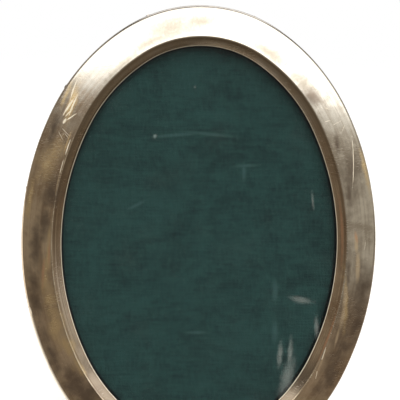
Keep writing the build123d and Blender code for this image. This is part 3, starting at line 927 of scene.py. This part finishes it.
def ribbon_finish():
    """Dark green silk with ribs across it and a plain edge."""
    finish = Finish("ribbed_silk")
    strip = finish.own_map("strip")
    across, along, _ = finish.axes(strip)
    ribs = (along * (2 * pi * MM / ribbon_rib_spacing)).sine() * 0.5 + 0.5
    selvedge = abs(across - 0.5).rise(0.42, 0.46)
    thread = finish.cloud(finish.turned(strip, scale=(3, 1, 1)), 6, detail=2)
    worn = ribs * 0.5 + thread * 0.4 + selvedge * 0.3
    surface = finish.principled(
        Base_Color=finish.mix(worn, silk_base, silk_high),
        Roughness=0.5,
        Sheen_Weight=0.2,
        Normal=finish.bump(ribs * (1 - selvedge), 0.12 * MM),
    )
    return finish.close(surface)


def floor_finish():
    """White to the camera and behind the frame. Its dark near half shows in the silver alone.

    Its spans are in metres from the frame.
    """
    finish = Finish("studio_floor")
    x, y, _ = finish.axes(finish.object_place())
    seen = finish.add("ShaderNodeLightPath", output="Is Camera Ray")
    behind = (y - x.most(0) * 0.6).rise(-0.075, -0.03) * y.rise(1.2, 0.8)
    cloth = finish.principled(
        Base_Color=finish.mix(behind.most(seen), floor_dark, floor_white),
        Roughness=0.8,
        Specular_IOR_Level=0.2,
    )
    far = finish.add("ShaderNodeEmission", inputs={"Color": grey(1.0), "Strength": 1.0})
    reach = ((x * x + y * y) ** 0.5).most(abs(x) * 1.6)
    return finish.close(finish.blend(reach.rise(0.22, 0.75) * seen, cloth, far))


# Silver front


def map_ring(bm):
    """Own map of the border: round from the bottom, and across from the outside to the glass."""
    layer = bm.loops.layers.uv.new("ring")
    arcs = quarter_arcs()
    for face in bm.faces:
        middle = round_share(face.calc_center_median())
        for loop in face.loops:
            share = round_share(loop.vert.co)
            share = middle + (share - middle + 0.5) % 1 - 0.5
            loop[layer].uv = (share, across_share(loop.vert.co, arcs))


def round_share(point):
    """Share of the way round, from the bottom by the right side, seen from the front."""
    turn = atan2(point.x / half_width, -point.z / half_height)
    return (turn / (2 * pi)) % 1


def across_share(point, arcs):
    """0 at the outer edge and 1 at the sight edge, below 0 down the wall, above 1 in the lip."""
    inset = edge_inset(point, arcs)
    if inset > ridge_inset:
        return (inset + max(0, point.y - bevel_depth)) / border_width
    wall = max(0, point.y - bevel_depth - lip_length)
    return (inset - wall) / border_width


def edge_inset(point, arcs):
    """How far inside the oval's edge the point lies."""
    place = Vector((abs(point.x), 0, abs(point.z)))
    end = 0
    for centre, radius, turn in arcs:
        away = place - centre
        end += turn
        if atan2(away.x, away.z) < radians(end):
            break
    return radius - away.length


def front_profile(bm):
    """The silver's outer surface at the top: lip, bevel, ridge, band, roll, wall and hem."""
    band_run = ridge_inset - roll_radius * (1 - sin(band_slope_outer))
    band_radius = band_run / (sin(band_slope_outer) - sin(band_slope_inner))
    tangent = band_radius * tan((band_slope_outer - band_slope_inner) / 2)
    knee = Vector((ridge_inset - tangent * cos(band_slope_inner), tangent * sin(band_slope_inner)))
    edge_depth = knee.y + knee.x * tan(band_slope_outer)
    chain = wire_of(
        bm,
        [
            at_top(border_width, bevel_depth + lip_length),
            at_top(border_width, bevel_depth),
            at_top(ridge_inset, 0),
            at_top(knee.x, knee.y),
            at_top(0, edge_depth),
            at_top(0, frame_depth),
            at_top(hem_width, frame_depth),
        ],
    )
    sight, ridge, bend, roll, hem = chain[1:6]
    round_corner(bm, roll, roll_radius, 10)
    round_corner(bm, bend, band_radius * band_radius_share, 12)
    round_corner(bm, ridge, ridge_radius, 5)
    round_corner(bm, sight, sight_radius, 3)
    round_corner(bm, hem, hem_radius, 3)


def make_silver_front(material):
    bm = bmesh.new()
    front_profile(bm)
    carry_round(bm, ring_steps_apart)
    bmesh.ops.recalc_face_normals(bm, faces=bm.faces[:])
    map_ring(bm)
    dent(bm)
    stand_up(bm)
    piece = piece_from(bm, "silver_border", material, silver_smooth_angle)
    thicken(piece, silver_gauge)
    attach(piece, "frame")
    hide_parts("silver_front")


def dent(bm):
    """Slight waves of a hand-held, often polished sheet."""
    for vert in bm.verts:
        if vert.co.y < frame_depth - hem_radius:
            wave = noise.noise(vert.co / dent_spacing)
            vert.co -= vert.normal * dent_depth * (wave + 1)


# Velvets


def velvet_disc(name, material, inset, chain, wave, wave_spacing):
    """Cloth on an oval board: a chain of shares of its radius and depths, turned once round."""
    bm = bmesh.new()
    wire_of(bm, [(share, depth, 0) for share, depth in chain])
    bmesh.ops.spin(
        bm,
        geom=bm.verts[:] + bm.edges[:],
        cent=(0, 0, 0),
        axis=(0, 1, 0),
        angle=2 * pi,
        steps=cloth_spokes,
        use_merge=True,
        use_duplicate=False,
    )
    bmesh.ops.remove_doubles(bm, verts=bm.verts[:], dist=merge_share)
    scale = (half_width - inset, 1, half_height - inset)
    bmesh.ops.scale(bm, vec=scale, verts=bm.verts[:])
    bmesh.ops.recalc_face_normals(bm, faces=bm.faces[:])
    for vert in bm.verts:
        vert.co.y += wave * noise.noise(vert.co / wave_spacing)
    map_rim(bm)
    stand_up(bm)
    return piece_from(bm, name, material)


def map_rim(bm):
    """Own map of the cloth: how far inside the sight edge each place lies, in millimetres."""
    layer = bm.loops.layers.uv.new("rim")
    arcs = quarter_arcs()
    for vert in bm.verts:
        inside = (edge_inset(vert.co, arcs) - border_width) / MM
        for loop in vert.link_loops:
            loop[layer].uv = (inside, 0)


def evenly(start, end, count):
    """Values from start to end in that many equal steps."""
    return [start + (end - start) * number / count for number in range(count + 1)]


def make_front_velvet(material):
    back = [(share, front_velvet_back) for share in evenly(0, 1, cloth_back_rings)]
    edge = [(1, panel_front + front_cloth_edge_rest)]
    shares = evenly(front_cloth_flat_share, 0, cloth_rings)
    flat = [(share, panel_front + front_cloth_rest) for share in shares]
    piece = velvet_disc(
        "front_velvet_cloth",
        material,
        board_inset,
        back + edge + flat,
        front_cloth_wave,
        front_cloth_wave_spacing,
    )
    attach(piece, "frame")
    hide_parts("front_velvet")


def make_back_velvet(material):
    edge = [
        (1, panel_front + back_cloth_rest),
        (1, panel_back - back_cloth_side_rest),
        (back_cloth_edge_share, panel_back - back_cloth_edge_rest),
    ]
    shares = evenly(back_cloth_flat_share, 0, cloth_rings)
    back = [(share, panel_back - back_cloth_rest) for share in shares]
    piece = velvet_disc(
        "back_velvet_cloth",
        material,
        panel_inset,
        edge + back,
        back_cloth_wave,
        back_cloth_wave_spacing,
    )
    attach(piece, "frame")
    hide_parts("back_velvet")


def make_rim_velvet(material):
    bm = bmesh.new()
    chain = wire_of(
        bm,
        [
            at_top(rim_inset, rim_front),
            at_top(rim_inset, rim_back),
            at_top(rebate_inset, rim_back),
            at_top(rebate_inset, rim_front),
        ],
    )
    for corner in chain[1:3]:
        round_corner(bm, corner, rim_edge_radius, 3)
    carry_round(bm, rim_steps_apart)
    bmesh.ops.recalc_face_normals(bm, faces=bm.faces[:])
    stand_up(bm)
    piece = piece_from(bm, "rim_velvet_cloth", material)
    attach(piece, "frame")
    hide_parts("rim_velvet")


# Strut


def strut_face(bm, shrink, depth):
    """The strut's face, folded flat: waisted sides and rounded top corners."""
    top = strut_top - shrink
    foot = hinge_height - strut_length - strut_overrun
    half_top = strut_top_width / 2 - shrink
    half_foot = strut_foot_width / 2 - shrink
    side = []
    for share in evenly(0, 1, strut_side_steps):
        waist = strut_waist * 4 * share * (1 - share)
        half = half_top + (half_foot - half_top) * share - waist
        side.append((half, top + (foot - top) * share))
    right = [bm.verts.new((x, depth, z)) for x, z in side]
    left = [bm.verts.new((-x, depth, z)) for x, z in reversed(side)]
    bm.faces.new(right + left)
    for corner in (right[0], left[-1]):
        bevel_vert(bm, corner, strut_top_radius, 6)
    return bm.faces[:]


def strut_slab(shrink, front, thickness, edge_radius):
    """Slab of the strut, shrunk at its sides, opened out and cut level above the floor."""
    bm = bmesh.new()
    faces = strut_face(bm, shrink, front)
    made = bmesh.ops.extrude_face_region(bm, geom=faces, use_keep_orig=True)
    moved = [item for item in made["geom"] if isinstance(item, bmesh.types.BMVert)]
    bmesh.ops.translate(bm, vec=(0, thickness, 0), verts=moved)
    back = front + thickness
    rim = [
        edge
        for edge in bm.edges
        if edge.is_manifold and all(abs(vert.co.y - back) < merge_gap for vert in edge.verts)
    ]
    bmesh.ops.bevel(
        bm, geom=rim, offset=edge_radius, segments=4, profile=0.5, affect="EDGES", material=-1
    )
    stand_up(bm, STAND @ SWING)
    cut = bmesh.ops.bisect_plane(
        bm,
        geom=bm.verts[:] + bm.edges[:] + bm.faces[:],
        plane_co=(0, 0, shrink),
        plane_no=(0, 0, -1),
        clear_outer=True,
    )
    loop = [item for item in cut["geom_cut"] if isinstance(item, bmesh.types.BMEdge)]
    bmesh.ops.contextual_create(bm, geom=loop)
    bmesh.ops.recalc_face_normals(bm, faces=bm.faces[:])
    return bm


def make_strut_velvet(material):
    bm = strut_slab(0, strut_front, strut_thickness, strut_cloth)
    piece = piece_from(bm, "strut_velvet_cloth", material, strut_smooth_angle)
    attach(piece, "strut")
    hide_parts("strut_velvet", "strut_board")


def make_strut_lining(material):
    front = strut_front - lining_proud
    bm = strut_slab(strut_cloth, front, strut_cloth, lining_edge_radius)
    piece = piece_from(bm, "strut_lining_cloth", material, strut_smooth_angle)
    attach(piece, "strut")
    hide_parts("strut_lining")


# Ribbon stay


def make_ribbon(material):
    """Ribbon from its tab on the panel to its tab on the strut, drawn as a line and widened."""
    level = hinge_height - stay_reach
    panel_side = panel_back + ribbon_rest
    strut_side = strut_front - ribbon_rest
    points = [
        Vector((0, panel_side, level + ribbon_tab)),
        Vector((0, panel_side, level)),
        SWING @ Vector((0, strut_side, level)),
        SWING @ Vector((0, strut_side, level - ribbon_tab)),
    ]
    bm = bmesh.new()
    chain = wire_of(bm, points)
    for corner in chain[1:3]:
        round_corner(bm, corner, ribbon_bend, 5)
    long_edges = [edge for edge in bm.edges if edge.calc_length() > ribbon_tab / 2]
    bmesh.ops.subdivide_edges(bm, edges=long_edges, cuts=ribbon_cuts)
    bmesh.ops.translate(bm, vec=(-ribbon_width / 2, 0, 0), verts=bm.verts[:])
    edges = bm.edges[:]
    for _ in range(ribbon_columns):
        made = bmesh.ops.extrude_edge_only(bm, edges=edges)
        moved = [item for item in made["geom"] if isinstance(item, bmesh.types.BMVert)]
        edges = [item for item in made["geom"] if isinstance(item, bmesh.types.BMEdge)]
        edges = [edge for edge in edges if edge.verts[0].co.x == edge.verts[1].co.x]
        bmesh.ops.translate(bm, vec=(ribbon_width / ribbon_columns, 0, 0), verts=moved)
    bmesh.ops.recalc_face_normals(bm, faces=bm.faces[:])
    layer = bm.loops.layers.uv.new("strip")
    for face in bm.faces:
        for loop in face.loops:
            point = loop.vert.co
            loop[layer].uv = (point.x / ribbon_width + 0.5, (point - points[0]).length / MM)
    stand_up(bm)
    piece = piece_from(bm, "stay_ribbon_silk", material)
    thicken(piece, ribbon_thickness, 0)
    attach(piece, "frame")
    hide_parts("stay_ribbon")
    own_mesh(piece)


# Stage


def toward(azimuth, elevation):
    """Direction from the frame, with azimuth 0 on the camera's side and growing towards +X."""
    level = cos(elevation)
    return Vector((sin(azimuth) * level, -cos(azimuth) * level, sin(elevation)))


def make_floor():
    bm = bmesh.new()
    bmesh.ops.create_circle(bm, cap_ends=True, segments=96, radius=floor_radius)
    floor = piece_from(bm, "floor", floor_finish())


def soft_lamp(name, azimuth, elevation, distance, size, watts):
    """Rectangular lamp that faces the frame's middle, from a direction given in degrees."""
    direction = toward(radians(azimuth), radians(elevation))
    lamp = bpy.data.lights.new(name, "AREA")
    lamp.shape = "RECTANGLE"
    lamp.size, lamp.size_y = size
    lamp.energy = watts
    holder = bpy.data.objects.new(name, lamp)
    holder.location = frame_middle + direction * distance
    holder.rotation_mode = "QUATERNION"
    holder.rotation_quaternion = (-direction).to_track_quat("-Z", "Y")
    bpy.context.scene.collection.objects.link(holder)
    return holder


def make_light():
    """Two lamps, and a world that is white to the camera and a dim room to the silver.

    The world's spans are parts of a ray's direction: to the right, away from the camera and up.
    """
    front = soft_lamp(
        "front_softbox", azimuth=9, elevation=53, distance=1.0, size=(1.4, 0.8), watts=3.4
    )
    front.visible_glossy = False
    soft_lamp("rear_softbox", azimuth=170, elevation=50, distance=1.3, size=(1.3, 1.0), watts=14)
    world = Finish("studio", bpy.data.worlds)
    side, away, up = world.axes(world.add("ShaderNodeTexCoord", output="Generated"))
    room = world.mix(side.rise(-0.2, 0.7), room_left, room_right)
    room = world.mix(away.rise(-0.91, -0.98), room, room_by_camera)
    near_side = away.rise(0.25, -0.15)
    overhead = up + side.least(0) * 0.12 + side.most(0) * 0.09
    glow = overhead.rise(0.35, 0.47) * side.rise(-0.60, -0.48) * near_side
    room = world.mix(glow * 0.55, room, overhead_glow)
    patch = overhead.rise(0.46, 0.495) * near_side
    room = world.mix(patch, room, overhead_patch)
    seen = world.add("ShaderNodeLightPath", output="Is Camera Ray")
    room = world.mix(seen, room, grey(1.0))
    sky = world.add("ShaderNodeBackground", inputs={"Color": room})
    bpy.context.scene.world = world.close(sky, "ShaderNodeOutputWorld")


def make_camera():
    back = toward(camera_azimuth, camera_elevation)
    turn = back.to_track_quat("Z", "Y").to_matrix() @ Matrix.Rotation(camera_roll, 3, "Z")
    data = bpy.data.cameras.new("camera")
    data.lens = camera_lens
    data.clip_start, data.clip_end = camera_range
    camera = bpy.data.objects.new("camera", data)
    stand = Matrix.Translation(camera_target + back * camera_distance)
    camera.matrix_world = stand @ turn.to_4x4()
    bpy.context.scene.collection.objects.link(camera)
    bpy.context.scene.camera = camera


def make_frame():
    silver = silver_finish()
    velvet = velvet_finish("green_velvet", velvet_base, velvet_high)
    front_cloth = velvet_finish("velvet_with_painted_light", velvet_base, velvet_high, behind_glass=True)
    lining = velvet_finish("green_lining", lining_base, lining_high)
    brass = brass_finish()
    steel = steel_finish()
    make_silver_front(silver)
    make_front_velvet(front_cloth)
    make_back_velvet(velvet)
    make_rim_velvet(velvet)
    make_strut_velvet(velvet)
    make_strut_lining(lining)
    make_ribbon(ribbon_finish())
    dress("glass_pane", glass_finish())
    dress("core_ring", wood_finish("core_wood", core_light, core_dark))
    dress("backing_panel", wood_finish("board", board_light, board_dark))
    dress("edge_pins", pin_finish())
    for node in ("hinge_pin", "hanger_nails"):
        dress(node, steel)
    for number in range(1, 5):
        dress(f"turn_button_{number}", brass)
    for node in (
        "button_washers",
        "button_screws",
        "hinge_panel_leaf",
        "hinge_panel_rivets",
        "hinge_strut_leaf",
        "hinge_strut_rivets",
        "stay_panel_tack",
        "stay_strut_tack",
        "hanger_plate",
        "hanging_ring",
    ):
        dress(node, brass)


bpy.context.scene.view_settings.view_transform = "Standard"
make_camera()
make_light()
make_floor()
make_frame()
